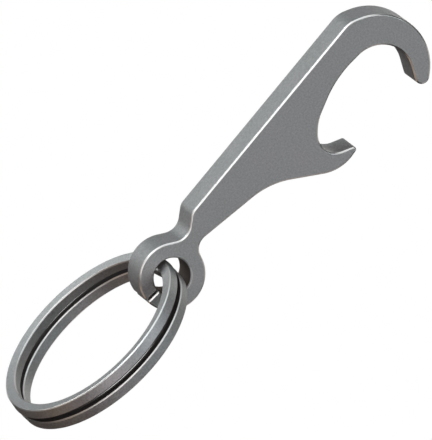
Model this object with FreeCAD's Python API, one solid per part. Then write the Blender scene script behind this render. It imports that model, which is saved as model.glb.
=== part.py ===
"""Keychain bottle opener: a thick titanium plate with a hooked mouth and an eye, and a split ring.

Frame: the origin is the centre of the eye's hole, at half the plate's thickness. +Z runs up the
handle from the eye to the hook, +X points out of the mouth, and -Y is the plate's front face.
"""
import FreeCAD, Part
import math
import os

Vector = FreeCAD.Vector

# --- opener plate -------------------------------------------------------------------------
PLATE_THICKNESS = 6.0
PLATE_CHAMFER = 0.25
HOLE_RADIUS = 3.25
SLIT_WIDTH = 0.4
SLIT_ANGLE = 7.0        # degrees from straight down, towards the straight back edge

CONVEX, CONCAVE = 1, -1

# The outline is a belt drawn tight round these circles, clockwise as the front face is seen:
# name: (x, z, radius, side). Between two circles the belt is straight.
OUTLINE = {
    "eye": (0.0, 0.0, 5.85, CONVEX),
    "neck on the back side": (-5.7, 6.68, 2.82, CONCAVE),
    "shoulder of the back": (-2.7, 10.85, 2.0, CONVEX),
    "back of the hook": (0.2, 49.7, 4.9, CONVEX),
    "crown of the hook": (4.7, 47.85, 9.7, CONVEX),
    "hook tip": (12.03, 52.06, 1.27, CONVEX),
    "top of the mouth": (6.25, 47.35, 5.75, CONCAVE),
    "back of the mouth": (18.3, 44.7, 18.0, CONCAVE),
    "lower part of the mouth": (9.7, 39.5, 8.2, CONCAVE),
    "floor of the mouth": (6.55, 35.85, 3.4, CONCAVE),
    "lip tip": (10.83, 35.5, 0.46, CONVEX),
    "outside of the lip": (4.05, 34.2, 7.35, CONVEX),
    "underside": (15.5, 15.65, 13.7, CONCAVE),
    "neck on the mouth side": (2.4, 8.05, 2.5, CONCAVE),
}

# --- split ring ---------------------------------------------------------------------------
WIRE = 1.9              # the wire is square
WIRE_CHAMFER = 0.2
RING_OUTER_DIAMETER = 35.0
TURN_GAP = 0.8          # between the two turns
FRONT_TURN_TILT = 8.0   # degrees that each turn's section leans, outer rim forwards
REAR_TURN_TILT = -2.5

# Angles run from the ring's top towards the plate's back face, in degrees.
CROSSOVER_START, CROSSOVER_END = 10.5, 31.0
END_GAP = 2.5           # from the crossover to each cut end of the wire
CROSSOVER_SECTIONS = 9

RING_CENTRE = Vector(-2.0, 0.0, -16.1)
RING_SWING = 5.9        # degrees about the hole's axis, away from the mouth
RING_LEAN = 1.8         # degrees about the ring's own upright

RING_MEAN_RADIUS = (RING_OUTER_DIAMETER - WIRE) / 2
TURN_PITCH = WIRE + TURN_GAP


def belt_tangent(first, second):
    """The belt's two contact points from one circle to the next. A circle is x, z, signed radius."""
    x1, z1, signed1 = first
    x2, z2, signed2 = second
    distance = math.hypot(x2 - x1, z2 - z1)
    along_x = (x2 - x1) / distance
    along_z = (z2 - z1) / distance
    lean = (signed1 - signed2) / distance
    rise = math.sqrt(1 - lean * lean)
    normal_x = lean * along_x - rise * along_z
    normal_z = lean * along_z + rise * along_x
    leaving = (x1 + signed1 * normal_x, z1 + signed1 * normal_z)
    arriving = (x2 + signed2 * normal_x, z2 + signed2 * normal_z)
    return leaving, arriving


def arc_middle(circle, start, end):
    """The point halfway along the belt's clockwise (convex) or anticlockwise (concave) arc."""
    x, z, signed = circle
    side = math.copysign(1, signed)
    start_angle = math.atan2(start[1] - z, start[0] - x)
    end_angle = math.atan2(end[1] - z, end[0] - x)
    turn = (side * (start_angle - end_angle)) % (2 * math.pi)
    middle = start_angle - side * turn / 2
    return x + abs(signed) * math.cos(middle), z + abs(signed) * math.sin(middle)


def outline_wire(y, inset):
    """The plate's outline at the depth y, moved inwards by inset: tangent arcs and lines."""
    circles = [(x, z, side * radius - inset) for x, z, radius, side in OUTLINE.values()]
    count = len(circles)
    contacts = [belt_tangent(circles[i], circles[(i + 1) % count]) for i in range(count)]
    edges = []
    for i, circle in enumerate(circles):
        arriving = contacts[i - 1][1]
        leaving, next_arriving = contacts[i]
        corners = [Vector(x, y, z)
                   for x, z in (arriving, arc_middle(circle, arriving, leaving), leaving, next_arriving)]
        edges.append(Part.Arc(*corners[:3]).toShape())
        edges.append(Part.makeLine(*corners[2:]))
    return Part.Wire(edges)


def plate_blank():
    """The solid plate: a straight core, and on each face a layer that narrows by the chamfer."""
    face_y = PLATE_THICKNESS / 2
    core_y = face_y - PLATE_CHAMFER
    core = Part.Face(outline_wire(-core_y, 0)).extrude(Vector(0, 2 * core_y, 0))
    rims = [Part.makeLoft([outline_wire(side * core_y, 0), outline_wire(side * face_y, PLATE_CHAMFER)],
                          True, True) for side in (-1, 1)]
    return core.fuse(rims).removeSplitter()


def eye_hole():
    """The drill that makes the eye's hole, with a countersink on each face."""
    through = Vector(0, 1, 0)
    drill = Part.makeCylinder(HOLE_RADIUS, 2 * PLATE_THICKNESS, through * -PLATE_THICKNESS, through)
    depth = PLATE_CHAMFER + PLATE_THICKNESS / 2
    sinks = [Part.makeCone(HOLE_RADIUS + depth, HOLE_RADIUS, depth,
                           through * (-side * PLATE_THICKNESS), through * side) for side in (-1, 1)]
    return drill.fuse(sinks)


def eye_slit():
    """The blade that slits the eye's wall from the hole downwards, flared at each face."""
    narrow = SLIT_WIDTH / 2
    flare_y = PLATE_THICKNESS / 2 - PLATE_CHAMFER
    beyond = PLATE_THICKNESS
    wide = narrow + beyond - flare_y
    side = [(narrow, -flare_y), (narrow, flare_y), (wide, beyond)]
    loop = [(wide, -beyond)] + side + [(-x, -y) for x, y in [(wide, -beyond)] + side]
    corners = [Vector(x, y, 0) for x, y in loop]
    blade = Part.Face(Part.makePolygon(corners + corners[:1])).extrude(Vector(0, 0, -3 * HOLE_RADIUS))
    blade.rotate(Vector(0, 0, 0), Vector(0, 1, 0), SLIT_ANGLE)
    return blade


def make_opener_plate():
    """The flat plate with its hook, lip, neck and chamfered rims, and its drilled and slit eye."""
    return plate_blank().cut(eye_hole()).cut(eye_slit())


def wire_section(axial, tilt, angle):
    """The chamfered square section of the wire: a closed wire in the plane at this ring angle."""
    half = WIRE / 2
    cut = half - WIRE_CHAMFER
    corners = [(half, cut), (cut, half), (-cut, half), (-half, cut),
               (-half, -cut), (-cut, -half), (cut, -half), (half, -cut)]
    cos_tilt = math.cos(math.radians(tilt))
    sin_tilt = math.sin(math.radians(tilt))
    points = []
    for outward, forward in corners:
        radius = RING_MEAN_RADIUS + outward * cos_tilt - forward * sin_tilt
        height = axial + outward * sin_tilt + forward * cos_tilt
        points.append(Vector(-height, radius * math.sin(math.radians(angle)),
                             radius * math.cos(math.radians(angle))))
    return Part.makePolygon(points + points[:1])


def flat_turn(axial, tilt, start, end):
    """One turn of the wire that stays in its own plane, from one ring angle to another."""
    section = Part.Face(wire_section(axial, tilt, start))
    return section.revolve(Vector(0, 0, 0), Vector(-1, 0, 0), end - start)


def crossover():
    """The short bend in which the wire steps from the rear turn to the front turn."""
    sections = []
    for i in range(CROSSOVER_SECTIONS):
        share = i / (CROSSOVER_SECTIONS - 1)
        step = (1 - math.cos(math.pi * share)) / 2
        axial = TURN_PITCH * (step - 0.5)
        tilt = REAR_TURN_TILT + (FRONT_TURN_TILT - REAR_TURN_TILT) * step
        angle = CROSSOVER_START + (CROSSOVER_END - CROSSOVER_START) * share
        sections.append(wire_section(axial, tilt, angle))
    return Part.makeLoft(sections, True, False)


def make_split_ring():
    """Two turns of square wire side by side, joined by one crossover, with cut ends beside it."""
    front = flat_turn(TURN_PITCH / 2, FRONT_TURN_TILT, CROSSOVER_END, 360 + CROSSOVER_START - END_GAP)
    rear = flat_turn(-TURN_PITCH / 2, REAR_TURN_TILT, CROSSOVER_END + END_GAP, 360 + CROSSOVER_START)
    ring = front.fuse([rear, crossover()]).removeSplitter()
    ring.rotate(Vector(0, 0, 0), Vector(0, 0, 1), RING_LEAN)
    ring.rotate(Vector(0, 0, 0), Vector(0, 1, 0), RING_SWING)
    ring.translate(RING_CENTRE)
    return ring


NODES = {"opener_plate": make_opener_plate, "split_ring": make_split_ring}

os.makedirs("parts", exist_ok=True)
for name, make in NODES.items():
    shape = make()
    solid = shape.Solids[0] if len(shape.Solids) == 1 else shape
    solid.exportStep("parts/" + name + ".step")
    print(name, "solids", len(shape.Solids), "valid", shape.isValid(), "mm3", round(shape.Volume, 1))
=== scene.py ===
"""Keychain bottle opener in blasted titanium, with its split ring.

Frame: the origin is the centre of the eye's hole, at half the plate's thickness. +Z runs up the
handle, +X points out of the mouth and -Y is the front face. Sizes are in millimetres and become
metres where a mesh is made.
"""
import math

import bpy
import numpy as np
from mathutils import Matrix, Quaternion, Vector


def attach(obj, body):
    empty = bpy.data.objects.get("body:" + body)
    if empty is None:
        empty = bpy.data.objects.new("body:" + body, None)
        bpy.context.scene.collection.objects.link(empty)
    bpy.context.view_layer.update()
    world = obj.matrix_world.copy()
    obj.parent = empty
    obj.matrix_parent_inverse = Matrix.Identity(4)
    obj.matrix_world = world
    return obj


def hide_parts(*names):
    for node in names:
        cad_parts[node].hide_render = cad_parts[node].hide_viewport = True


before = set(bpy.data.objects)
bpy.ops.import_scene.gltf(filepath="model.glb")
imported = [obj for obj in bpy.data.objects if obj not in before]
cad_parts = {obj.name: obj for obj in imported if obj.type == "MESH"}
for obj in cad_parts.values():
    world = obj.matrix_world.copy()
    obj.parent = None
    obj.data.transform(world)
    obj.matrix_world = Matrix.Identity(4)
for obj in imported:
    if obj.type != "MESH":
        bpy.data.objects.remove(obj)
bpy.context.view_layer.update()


# --- Opener plate --------------------------------------------------------------------------
# One piece of 6 mm titanium plate, cut by water jet or mill: hook, mouth, lip, handle and eye.
# Its edges are chamfered, the eye is drilled and its wall is slit, and the whole is bead-blasted.

PLATE_THICKNESS = 6.0
CHAMFER = 0.25
CHAMFER_POWER = 1.12     # 1 is a flat chamfer, 2 is a quarter round
CHAMFER_STEPS = 6
FLAT_MARGIN = 0.04       # from a chamfer to the loop that keeps its wall flat
OUTLINE_STEP = 0.22      # between points on a round stretch
SAME_POINT = OUTLINE_STEP / 1000         # nearer than this, two points are one
MILLIMETRE = 0.001

EYE_RADIUS = 5.85
HOLE_RADIUS = 3.25
HOLE_TOLERANCE = 0.003   # how far outside the radius a point of the hole's wall may lie
SLIT_WIDTH = 0.4
SLIT_ANGLE = 7.0         # degrees from straight down, towards the straight back edge
SLIT_CORNER = 0.26       # radius where the slit's walls meet the hole and the outline

CONVEX, CONCAVE = 1, -1

# A face's finish is the number of its material. The bore's finish is painted shade, and the chamfers'
# lighter colour is a painted highlight.
BLASTED, CUT_AND_HIGHLIT, SHADED_BORE = 0, 1, 2


def slit_corner(distance, side):
    """A small circle in the slit's wall, this far from the hole's centre.

    side is 1 on the mouth's side and -1 on the other. The circle touches the slit's wall.
    """
    across = side * (SLIT_WIDTH / 2 + SLIT_CORNER)
    along = math.sqrt(distance ** 2 - across ** 2)
    angle = math.radians(SLIT_ANGLE)
    x = across * math.cos(angle) - along * math.sin(angle)
    z = -across * math.sin(angle) - along * math.cos(angle)
    return x, z, SLIT_CORNER, CONVEX


# The outline is a belt drawn tight round these circles, clockwise as the front face is seen.
# Each is x, z, radius and the side of the belt that it lies on. The slit leads the belt into the
# hole and out again, so one closed belt bounds the whole plate.
PLATE_BELT = [
    (0.0, 0.0, EYE_RADIUS, CONVEX),                     # eye, up to the slit
    slit_corner(EYE_RADIUS - SLIT_CORNER, 1),
    slit_corner(HOLE_RADIUS + SLIT_CORNER, 1),
    (0.0, 0.0, HOLE_RADIUS, CONCAVE),                   # hole
    slit_corner(HOLE_RADIUS + SLIT_CORNER, -1),
    slit_corner(EYE_RADIUS - SLIT_CORNER, -1),
    (0.0, 0.0, EYE_RADIUS, CONVEX),                     # eye, from the slit to the back
    (-5.7, 6.68, 2.82, CONCAVE),                        # neck on the back side
    (-2.7, 10.85, 2.0, CONVEX),                         # shoulder of the back
    (0.2, 49.7, 4.9, CONVEX),                           # back of the hook
    (4.7, 47.85, 9.7, CONVEX),                          # crown of the hook
    (12.03, 52.06, 1.27, CONVEX),                       # hook tip
    (6.25, 47.35, 5.75, CONCAVE),                       # top of the mouth
    (18.3, 44.7, 18.0, CONCAVE),                        # back of the mouth
    (9.7, 39.5, 8.2, CONCAVE),                          # lower part of the mouth
    (6.55, 35.85, 3.4, CONCAVE),                        # floor of the mouth
    (10.83, 35.5, 0.46, CONVEX),                        # lip tip
    (4.05, 34.2, 7.35, CONVEX),                         # outside of the lip
    (15.5, 15.65, 13.7, CONCAVE),                       # underside
    (2.4, 8.05, 2.5, CONCAVE),                          # neck on the mouth side
]


def belt(circles, step):
    """Points and outward normals round a closed belt of tangent arcs and straight runs.

    Between two circles the belt's normal makes the angle arccos(difference of signed radii /
    distance) with the line of centres. On a circle the normal turns from one run's to the next,
    and the point is the centre plus the signed radius times the normal.
    """
    x, z, radius, side = (np.array(column, float) for column in zip(*circles))
    signed = side * radius
    across = np.roll(x, -1) - x
    up = np.roll(z, -1) - z
    distance = np.hypot(across, up)
    lean = np.clip((signed - np.roll(signed, -1)) / distance, -1, 1)
    leaving = np.arctan2(up, across) + np.arccos(lean)
    arriving = np.roll(leaving, 1)
    turn = (side * (arriving - leaving)) % (2 * math.pi)
    counts = np.ceil(turn * radius / step).astype(int) + 1
    angles = [start - sign * np.linspace(0, sweep, count)
              for start, sign, sweep, count in zip(arriving, side, turn, counts)]
    owner = np.repeat(np.arange(len(circles)), counts)
    angle = np.concatenate(angles)
    normals = np.stack([np.cos(angle), np.sin(angle)], axis=1)
    points = np.stack([x, z], axis=1)[owner] + signed[owner, None] * normals
    apart = np.linalg.norm(points - np.roll(points, 1, axis=0), axis=1) > SAME_POINT
    return points[apart], normals[apart]


def edge_profile():
    """Depth and inset across the plate's edge, from the front face to the back face.

    Each chamfer is a quarter of a superellipse, a^p + b^p = chamfer^p, where a and b are measured
    from the point that lies one chamfer in from both the face and the wall, and p is the chamfer's
    power. One more loop just beyond it keeps the wall flat right up to it.
    """
    share = np.linspace(0, math.pi / 2, CHAMFER_STEPS + 1)
    power = 2 / CHAMFER_POWER
    depth = CHAMFER * (1 - np.cos(share) ** power)
    inset = CHAMFER * (1 - np.sin(share) ** power)
    depth = np.append(depth, CHAMFER + FLAT_MARGIN) - PLATE_THICKNESS / 2
    front = np.stack([depth, np.append(inset, 0)], axis=1)
    back = front[::-1] * (-1, 1)
    return np.concatenate([front, back])


def loop_faces(rows, columns):
    """Corner numbers of the quads between the rows of a grid whose columns close on themselves."""
    row, column = np.meshgrid(np.arange(rows - 1), np.arange(columns), indexing="ij")
    here = row * columns + column
    beside = row * columns + (column + 1) % columns
    return np.stack([here, beside, beside + columns, here + columns], axis=-1).reshape(-1, 4)


def new_piece(name, vertices, faces, finish_of_face, caps, materials):
    """A mesh object in metres: smooth walls in their own finishes, and flat end caps in the first."""
    mesh = bpy.data.meshes.new(name)
    mesh.from_pydata((vertices * MILLIMETRE).tolist(), [], faces.tolist() + caps)
    is_wall = np.arange(len(mesh.polygons)) < len(faces)
    mesh.polygons.foreach_set("use_smooth", is_wall)
    mesh.polygons.foreach_set("material_index", np.append(finish_of_face, np.zeros(len(caps), int)))
    for material in materials:
        mesh.materials.append(material)
    mesh.update()
    piece = bpy.data.objects.new(name, mesh)
    bpy.context.scene.collection.objects.link(piece)
    return piece


def plate_mesh():
    """The belt carried through the edge profile, with a flat face on each end.

    Each loop is the belt moved inwards along its normals by the profile's inset, at its depth.
    """
    points, normals = belt(PLATE_BELT, OUTLINE_STEP)
    profile = edge_profile()
    depth, inset = profile[:, :1, None], profile[:, 1:, None]
    loops = points[None] - inset * normals[None]
    depths = np.broadcast_to(depth, loops.shape[:2] + (1,))
    vertices = np.concatenate([loops[..., :1], depths, loops[..., 1:]], axis=-1)
    rows, columns = loops.shape[:2]
    faces = loop_faces(rows, columns)
    row, column = faces[:, 0] // columns, faces[:, 0] % columns
    # Chamfer faces take the lighter colour that paints their highlight.
    on_chamfer = np.minimum(row, rows - 2 - row) < CHAMFER_STEPS
    # Faces of the hole's wall take the bore's painted shade.
    in_hole = np.hypot(*points.T) < HOLE_RADIUS + HOLE_TOLERANCE
    drilled = in_hole & np.roll(in_hole, -1)
    finish_of_face = np.where(on_chamfer, CUT_AND_HIGHLIT, np.where(drilled[column], SHADED_BORE, BLASTED))
    front = list(range(columns))[::-1]
    back = list(range((rows - 1) * columns, rows * columns))
    return vertices.reshape(-1, 3), faces, finish_of_face, [front, back]


def linear(hex_colour):
    """An sRGB hex colour as the linear colour that a shader takes."""
    srgb = np.array([int(hex_colour[i:i + 2], 16) for i in (1, 3, 5)]) / 255
    low, high = srgb / 12.92, ((srgb + 0.055) / 1.055) ** 2.4
    return (*np.where(srgb <= 0.04045, low, high).tolist(), 1.0)


def node(tree, kind, settings=(), inputs=()):
    """Adds a node with its settings and its inputs, each a value or another node's output."""
    added = tree.nodes.new(kind)
    for name, value in dict(settings).items():
        setattr(added, name, value)
    for name, value in dict(inputs).items():
        if isinstance(value, bpy.types.NodeSocket):
            tree.links.new(value, added.inputs[name])
        else:
            added.inputs[name].default_value = value
    return added


DIMPLE_SIZE = 0.3        # a bead leaves a dimple of about 0.1 mm, drawn coarser so that it shows
DIMPLE_DEPTH = 0.03
OXIDE_PATCH = 5.0        # slow changes in the oxide's tint
BURNISH_PATCH = 0.8      # on the bright edges


def grained_titanium(name, dull, bright, matt, glossy):
    """Grey titanium with a fine dimpled grain and an oxide tint that drifts from dull to bright.

    The dimples' height also makes the surface darker and glossier in their bottoms.
    """
    material = bpy.data.materials.new(name)
    material.use_nodes = True
    tree = material.node_tree
    shader = tree.nodes["Principled BSDF"]
    place = node(tree, "ShaderNodeTexCoord")
    dimples = node(tree, "ShaderNodeTexNoise", {},
                   {"Vector": place.outputs["Object"], "Scale": 1 / (DIMPLE_SIZE * MILLIMETRE),
                    "Detail": 3.0, "Roughness": 0.6})
    patches = node(tree, "ShaderNodeTexNoise", {},
                   {"Vector": place.outputs["Object"], "Scale": 1 / (OXIDE_PATCH * MILLIMETRE),
                    "Detail": 3.0})
    oxide = node(tree, "ShaderNodeMix", {"data_type": "RGBA"},
                 {"Factor": patches.outputs["Fac"], "A": linear(dull), "B": linear(bright)})
    speckle = node(tree, "ShaderNodeMapRange", {},
                   {"Value": dimples.outputs["Fac"], "From Min": 0.35, "From Max": 0.65,
                    "To Min": 0.82, "To Max": 1.11})
    grained = node(tree, "ShaderNodeMix", {"data_type": "RGBA", "blend_type": "MULTIPLY"},
                   {"Factor": 1.0, "A": oxide.outputs["Result"], "B": speckle.outputs["Result"]})
    gloss = node(tree, "ShaderNodeMapRange", {},
                 {"Value": dimples.outputs["Fac"], "From Min": 0.3, "From Max": 0.7,
                  "To Min": glossy, "To Max": matt})
    relief = node(tree, "ShaderNodeBump", {},
                  {"Height": dimples.outputs["Fac"], "Strength": 0.5,
                   "Distance": DIMPLE_DEPTH * MILLIMETRE})
    tree.links.new(grained.outputs["Result"], shader.inputs["Base Color"])
    tree.links.new(gloss.outputs["Result"], shader.inputs["Roughness"])
    tree.links.new(relief.outputs["Normal"], shader.inputs["Normal"])
    shader.inputs["Metallic"].default_value = 1.0
    return material


def bright_titanium(name, dull, bright, matt, glossy):
    """Bare titanium, smooth and of a lighter colour, which is a painted highlight, with small patches
    that are more or less burnished.
    """
    material = bpy.data.materials.new(name)
    material.use_nodes = True
    tree = material.node_tree
    shader = tree.nodes["Principled BSDF"]
    place = node(tree, "ShaderNodeTexCoord")
    burnish = node(tree, "ShaderNodeTexNoise", {},
                   {"Vector": place.outputs["Object"], "Scale": 1 / (BURNISH_PATCH * MILLIMETRE),
                    "Detail": 2.0})
    gloss = node(tree, "ShaderNodeMapRange", {},
                 {"Value": burnish.outputs["Fac"], "From Min": 0.3, "From Max": 0.7,
                  "To Min": glossy, "To Max": matt})
    tint = node(tree, "ShaderNodeMix", {"data_type": "RGBA"},
                {"Factor": burnish.outputs["Fac"], "A": linear(dull), "B": linear(bright)})
    tree.links.new(tint.outputs["Result"], shader.inputs["Base Color"])
    tree.links.new(gloss.outputs["Result"], shader.inputs["Roughness"])
    shader.inputs["Metallic"].default_value = 1.0
    return material


# Glass beads leave the faces and walls grey, even and matt.
blasted = grained_titanium("bead_blasted_titanium", "#b4b7b4", "#bebbbd", 0.64, 0.54)

# The chamfer cutter runs last and leaves the edges smoother: they shine as thin lines. Their lighter
# colour is a painted highlight.
chamfered = bright_titanium("machined_titanium_chamfer_painted_highlight", "#e9e8e5", "#f0efec", 0.34, 0.28)

# The wall of the drilled hole is painted darker and brownish: painted shade, with a painted warm
# reflection.
bore_painted_shade = grained_titanium("drilled_titanium_bore_painted_shade", "#77695f", "#857a72", 0.56, 0.46)

plate = new_piece("plate_body", *plate_mesh(), [blasted, chamfered, bore_painted_shade])
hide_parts("opener_plate")
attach(plate, "opener")


# --- Split ring ----------------------------------------------------------------------------
# One length of square titanium wire, coiled into two turns. It crosses from the rear turn to the
# front turn behind the eye, and its two cut ends lie beside that step.

WIRE = 1.9
WIRE_CHAMFER = 0.2
RING_MEAN_RADIUS = 16.55
TURN_PITCH = 2.7
REAR_TILT, FRONT_TILT = -2.5, 8.0        # degrees that each turn's section leans
CROSSOVER_START, CROSSOVER_END = 10.5, 31.0
END_GAP = 2.5
RING_CENTRE = (-2.0, 0.0, -16.1)
RING_SWING = 5.9
RING_LEAN = 1.8
RING_STEP = 0.75                         # degrees between sections
CORNER_POINTS = 6
CORNERS = 4
# The third finish is painted shade between the turns, and the corners' lighter colour is a painted
# highlight.
TUMBLED, RUBBED_AND_HIGHLIT, SHADED_BETWEEN_TURNS = 0, 1, 2


def wire_section():
    """The wire's chamfered square, as points outward and forward of the wire's centre line.

    Each corner is the same quarter superellipse as the plate's chamfer, with a point on each side
    of it that keeps the sides flat. Every quarter is the one before it, turned by 90 degrees.
    """
    half = WIRE / 2
    share = np.linspace(0, math.pi / 2, CORNER_POINTS)
    power = 2 / CHAMFER_POWER
    corner = half - WIRE_CHAMFER
    rounded = np.stack([np.cos(share), np.sin(share)], axis=1) ** power * WIRE_CHAMFER + corner
    before = (half, corner - FLAT_MARGIN)
    quarter = np.concatenate([[before], rounded, [before[::-1]]])
    turns = [quarter]
    for _ in range(CORNERS - 1):
        quarter = quarter[:, ::-1] * (-1, 1)
        turns.append(quarter)
    return np.concatenate(turns)


def ring_mesh():
    """The wire's section carried along two turns round a circle of the mean radius.

    Along the wire the section's height over the middle plane and its tilt follow one half-cosine
    step, which is 0 on the rear turn, 1 on the front turn, and rises over the crossover. The coil
    is made upright round the origin, then leant about Z, swung about Y and moved to its centre.
    """
    start = CROSSOVER_END + END_GAP
    finish = 2 * 360 + CROSSOVER_START - END_GAP
    count = int((finish - start) / RING_STEP) + 1
    degrees = np.linspace(start, finish, count)
    share = np.clip((degrees - 360 - CROSSOVER_START) / (CROSSOVER_END - CROSSOVER_START), 0, 1)
    step = (1 - np.cos(math.pi * share)) / 2
    height = TURN_PITCH * (step - 0.5)
    tilt = np.radians(REAR_TILT + (FRONT_TILT - REAR_TILT) * step)
    outward, forward = wire_section().T
    cos, sin = np.cos(tilt)[:, None], np.sin(tilt)[:, None]
    radius = RING_MEAN_RADIUS + outward * cos - forward * sin
    across = height[:, None] + outward * sin + forward * cos
    angle = np.radians(degrees)[:, None]
    local = np.stack([-across, radius * np.sin(angle), radius * np.cos(angle)], axis=-1)
    swing, lean = math.radians(RING_SWING), math.radians(RING_LEAN)
    about_z = np.array([[math.cos(lean), -math.sin(lean), 0],
                        [math.sin(lean), math.cos(lean), 0],
                        [0, 0, 1]])
    about_y = np.array([[math.cos(swing), 0, math.sin(swing)],
                        [0, 1, 0],
                        [-math.sin(swing), 0, math.cos(swing)]])
    vertices = local @ about_z.T @ about_y.T + RING_CENTRE
    rows, columns = local.shape[:2]
    faces = loop_faces(rows, columns)[:, ::-1]
    row, column = faces[:, 3] // columns, faces[:, 3] % columns
    side = columns // CORNERS
    # The corners take the lighter colour that paints their highlight.
    on_corner = (column % side > 0) & (column % side < side - 2)
    front_side = column == side - 1
    back_side = (column > 2 * side) & (column < columns - 2)
    # Where the turns face each other, the wire takes painted shade.
    between = np.where(share[row] == 1, back_side, front_side & (share[row] == 0))
    finish_of_face = np.where(between, SHADED_BETWEEN_TURNS, np.where(on_corner, RUBBED_AND_HIGHLIT, TUMBLED))
    ends = [list(range(columns)), list(range((rows - 1) * columns, rows * columns))[::-1]]
    return vertices.reshape(-1, 3), faces, finish_of_face, ends


# The wire is drawn square, coiled and then tumbled, which leaves it about as matt as the plate.
tumbled = grained_titanium("tumbled_titanium_wire", "#b4b7b4", "#bebbbd", 0.62, 0.50)

# Tumbling and keys rub its corners smoother, and their lighter colour is a painted highlight.
corner_rubbed_and_highlit = bright_titanium("tumbled_titanium_corner_painted_highlight", "#e6e5e2", "#eeedea", 0.42, 0.34)

# Where the turns face each other the wire is painted dark: painted shade between the turns.
shade_between_turns = grained_titanium("titanium_wire_painted_shade", "#5c5856", "#6a6562", 0.66, 0.56)

ring = new_piece("ring_wire", *ring_mesh(), [tumbled, corner_rubbed_and_highlit, shade_between_turns])
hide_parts("split_ring")
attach(ring, "ring")


# --- Floor, light and camera ---------------------------------------------------------------
# A plain white sheet well below the hanging opener, in a white studio, with soft boxes all round.
# The sheet glows a little, as a light table does, and throws no light or shade on the opener.

FLOOR_HEIGHT = -1.0      # metres, as all the sizes in this section are
FLOOR_HALF = 4.0
FLOOR_GLOW = 0.5

floor_mesh = bpy.data.meshes.new("floor")
floor_corners = [(-FLOOR_HALF, -FLOOR_HALF, FLOOR_HEIGHT), (FLOOR_HALF, -FLOOR_HALF, FLOOR_HEIGHT),
                 (FLOOR_HALF, FLOOR_HALF, FLOOR_HEIGHT), (-FLOOR_HALF, FLOOR_HALF, FLOOR_HEIGHT)]
floor_mesh.from_pydata(floor_corners, [], [(0, 1, 2, 3)])
floor = bpy.data.objects.new("floor", floor_mesh)
bpy.context.scene.collection.objects.link(floor)
floor_material = bpy.data.materials.new("white_paper")
floor_material.use_nodes = True
floor_shader = floor_material.node_tree.nodes["Principled BSDF"]
floor_shader.inputs["Base Color"].default_value = linear("#f4f4f2")
floor_shader.inputs["Emission Color"].default_value = linear("#ffffff")
floor_shader.inputs["Emission Strength"].default_value = FLOOR_GLOW
floor_mesh.materials.append(floor_material)
floor.visible_glossy = False
floor.visible_diffuse = False
floor.visible_shadow = False

CAMERA_SWING = 25.3      # degrees from the front face towards the straight back edge
CAMERA_HEIGHT = -0.72    # degrees above the horizon
CAMERA_ROLL = 39.53
CAMERA_DISTANCE = 2.5
CAMERA_REACH = 100
VIEW_HEIGHT = 0.07297    # of the frame, at the object
AIM = Vector((0.674, -0.484, 11.876)) * MILLIMETRE

level = math.cos(math.radians(CAMERA_HEIGHT))
towards_camera = Vector((-math.sin(math.radians(CAMERA_SWING)) * level,
                         -math.cos(math.radians(CAMERA_SWING)) * level,
                         math.sin(math.radians(CAMERA_HEIGHT))))
camera = bpy.data.objects.new("camera", bpy.data.cameras.new("camera"))
bpy.context.scene.collection.objects.link(camera)
camera.location = AIM + towards_camera * CAMERA_DISTANCE
upright = (-towards_camera).to_track_quat("-Z", "Y")
camera.rotation_mode = "QUATERNION"
camera.rotation_quaternion = upright @ Quaternion((0, 0, 1), math.radians(CAMERA_ROLL))
camera.data.lens = camera.data.sensor_width * CAMERA_DISTANCE / VIEW_HEIGHT
camera.data.clip_end = CAMERA_REACH
bpy.context.scene.camera = camera

# The camera sees a white studio, but only a little of its light falls on the metal.
STUDIO_AMBIENT = 0.02

world = bpy.data.worlds.new("studio")
bpy.context.scene.world = world
world.use_nodes = True
background = world.node_tree.nodes["Background"]
ray = node(world.node_tree, "ShaderNodeLightPath")
brightness = node(world.node_tree, "ShaderNodeMix", {"data_type": "FLOAT"},
                  {"Factor": ray.outputs["Is Camera Ray"], "A": STUDIO_AMBIENT, "B": 1.0})
world.node_tree.links.new(brightness.outputs["Result"], background.inputs["Strength"])
background.inputs["Color"].default_value = (1, 1, 1, 1)
bpy.context.scene.view_settings.view_transform = "Standard"

SOFTBOX_SIZE = 0.5
SOFTBOX_DISTANCE = 1.0
EDGE_BOX_SIZE = 0.35     # a smaller one, which picks out the chamfers


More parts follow.
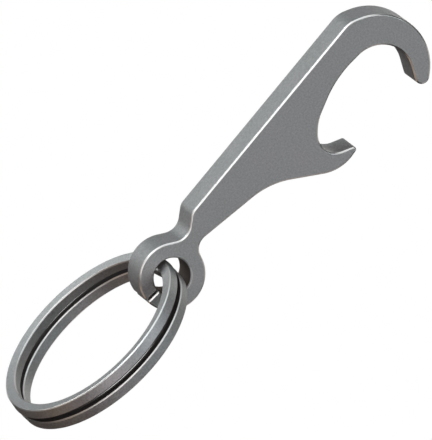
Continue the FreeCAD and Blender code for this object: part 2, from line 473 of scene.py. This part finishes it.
def softbox(name, direction, power, colour, size):
    """A square area light facing the opener, of power in watts.

    direction is a unit vector from the opener: right, up and towards the camera, as that sees them.
    """
    lamp = bpy.data.lights.new(name, "AREA")
    lamp.energy = power
    lamp.size = size
    lamp.color = linear(colour)[:3]
    light = bpy.data.objects.new(name, lamp)
    bpy.context.scene.collection.objects.link(light)
    offset = camera.rotation_quaternion @ Vector(direction) * SOFTBOX_DISTANCE
    light.location = AIM + offset
    light.rotation_mode = "QUATERNION"
    light.rotation_quaternion = (-offset).to_track_quat("-Z", "Y")
    light.visible_camera = False


for name, direction, power, colour in [
    ("front", (-0.26, 0.24, 0.93), 0.90, "#fcfcff"),
    ("front_low", (0.04, -0.45, 0.89), 2.05, "#fff0f4"),
    ("front_left", (-0.59, -0.10, 0.80), 0.95, "#fffdfc"),
    ("front_right_low", (0.55, -0.35, 0.76), 0.50, "#e2feff"),
    ("front_top", (-0.18, 0.67, 0.72), 1.05, "#fffeff"),
    ("front_right", (0.73, 0.27, 0.63), 2.70, "#f1f9ff"),
    ("top_right", (0.26, 0.83, 0.50), 0.80, "#fafcff"),
    ("top_left", (-0.53, 0.76, 0.37), 1.74, "#e9f6ff"),
    ("left", (-0.97, 0.04, 0.24), 0.38, "#ffe4d2"),
    ("top", (-0.05, 0.99, 0.15), 0.98, "#f1fdff"),
    ("left_low", (-0.64, -0.76, 0.11), 0.55, "#ffd8bb"),
    ("left_top", (-0.82, 0.57, 0.02), 3.30, "#f8feff"),
    ("back_top", (0.15, 0.90, -0.41), 0.52, "#fff6fa"),
    ("right_back_low", (0.50, -0.78, -0.37), 0.60, "#fff0e6"),
    ("right_back", (0.86, -0.07, -0.50), 0.50, "#fffaf0"),
    ("right_back_top", (0.52, 0.57, -0.63), 1.40, "#fefffa"),
    ("back_left", (-0.40, 0.21, -0.89), 0.70, "#ffffff"),
]:
    softbox(name, direction, power, colour, SOFTBOX_SIZE)
softbox("edge", (-0.47, 0.42, 0.78), 0.50, "#ffffff", EDGE_BOX_SIZE)
